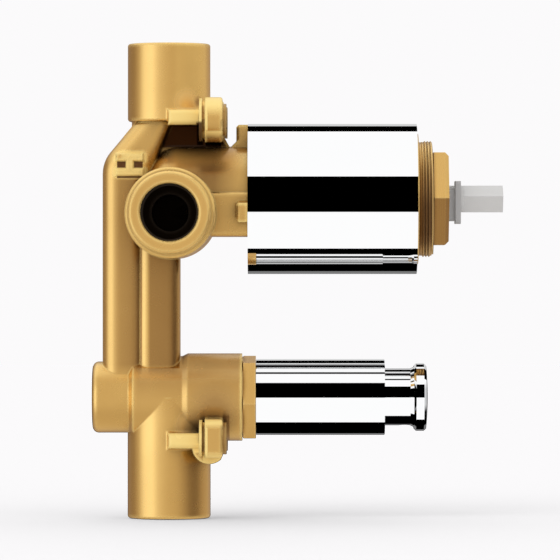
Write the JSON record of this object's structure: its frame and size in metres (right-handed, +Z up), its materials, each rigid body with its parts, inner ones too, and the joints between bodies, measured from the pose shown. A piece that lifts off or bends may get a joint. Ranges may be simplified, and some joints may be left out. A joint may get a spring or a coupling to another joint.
{
  "type": "concealed shower valve",
  "caption": "In-wall shower mixer and diverter in one cast brass body, with lever spindle, chrome sleeves, push-pull knob, threaded ports and lugs.",
  "frame": {"origin": "centre of the four mounting holes, on the front plane of their lugs", "axes": "+X out of the wall towards the lever and the knob, +Z up, hot inlet at -Y and cold inlet at +Y"},
  "size_m": [0.1352, 0.09, 0.1562],
  "materials": {
    "cast_brass": "smooth cast",
    "turned_brass": "turned",
    "chrome": "mirror",
    "grey_plastic": "moulded",
    "pale_plastic": "moulded",
    "white_plastic": "moulded",
    "black_rubber": "moulded",
    "disc_ceramic": "lapped",
    "steel": "turned"
  },
  "bodies": {
    "valve": {"valve_body": "cast_brass", "mixer_sleeve": "chrome", "mixer_sleeve_orings": "black_rubber", "cartridge_nut": "turned_brass", "cartridge_housing": "white_plastic", "cartridge_base": "white_plastic", "base_seals": "black_rubber", "disc_seals": "black_rubber", "fixed_disc": "disc_ceramic", "diverter_bonnet": "turned_brass", "bonnet_oring": "black_rubber", "spindle_orings": "black_rubber", "diverter_sleeve": "chrome", "diverter_sleeve_oring": "black_rubber"},
    "guide": {"lever_guide": "white_plastic", "guide_oring": "black_rubber", "lever_pin": "steel"},
    "lever": {"lever_spindle": "pale_plastic", "lever_collar": "grey_plastic"},
    "carrier": {"disc_carrier": "white_plastic", "moving_disc": "disc_ceramic"},
    "knob": {"diverter_spindle": "turned_brass", "poppet_washers": "black_rubber", "poppet_clip": "steel", "diverter_knob": "chrome", "knob_screw": "steel"}
  },
  "joints": [
    {"name": "temperature_turn", "type": "hinge", "parent": "valve", "child": "guide", "pos_m": [0.059, 0, 0.0264], "axis": [1, 0, 0], "range_deg": [-45, 45]},
    {"name": "flow_tilt", "type": "hinge", "parent": "guide", "child": "lever", "pos_m": [0.059, 0, 0.0264], "axis": [0, -1, 0], "range_deg": [0, 20]},
    {"name": "disc_slide", "type": "slide", "parent": "guide", "child": "carrier", "axis": [0, 0, -1], "range_m": [0, 0.0037]},
    {"name": "diverter_slide", "type": "slide", "parent": "valve", "child": "knob", "axis": [1, 0, 0], "range_m": [-0.008, 0]}
  ],
  "couplings": [
    {"joint": "disc_slide", "follows": "flow_tilt", "m_per_rad": 0.0105}
  ]
}
